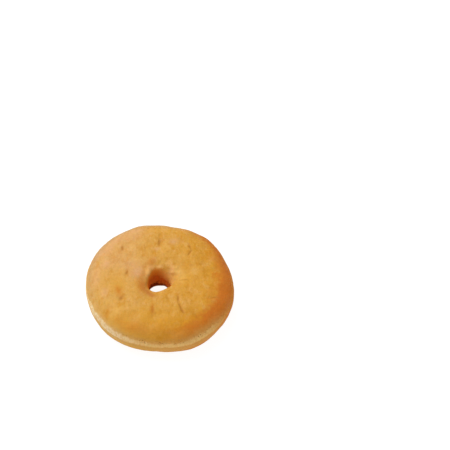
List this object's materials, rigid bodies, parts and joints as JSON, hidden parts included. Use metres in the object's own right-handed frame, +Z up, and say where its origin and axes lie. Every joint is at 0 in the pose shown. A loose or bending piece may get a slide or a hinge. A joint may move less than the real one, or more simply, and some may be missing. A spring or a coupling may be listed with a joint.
{
  "type": "ring doughnut",
  "caption": "Plain yeast-raised ring doughnut, fried golden on both sides, with a pale line round its side and a hole through the middle.",
  "frame": {"origin": "middle of the footprint, on the surface that the doughnut lies on", "axes": "+Z up through the ring's hole; +X is the ring's right and -Y its front, as in the picture"},
  "size_m": [0.088, 0.084, 0.0253],
  "materials": {
    "fried_crust": "satin golden-brown fried dough, paler round the side and at the hole's lip"
  },
  "bodies": {
    "root": {"ring_doughnut": "fried_crust"}
  },
  "joints": []
}
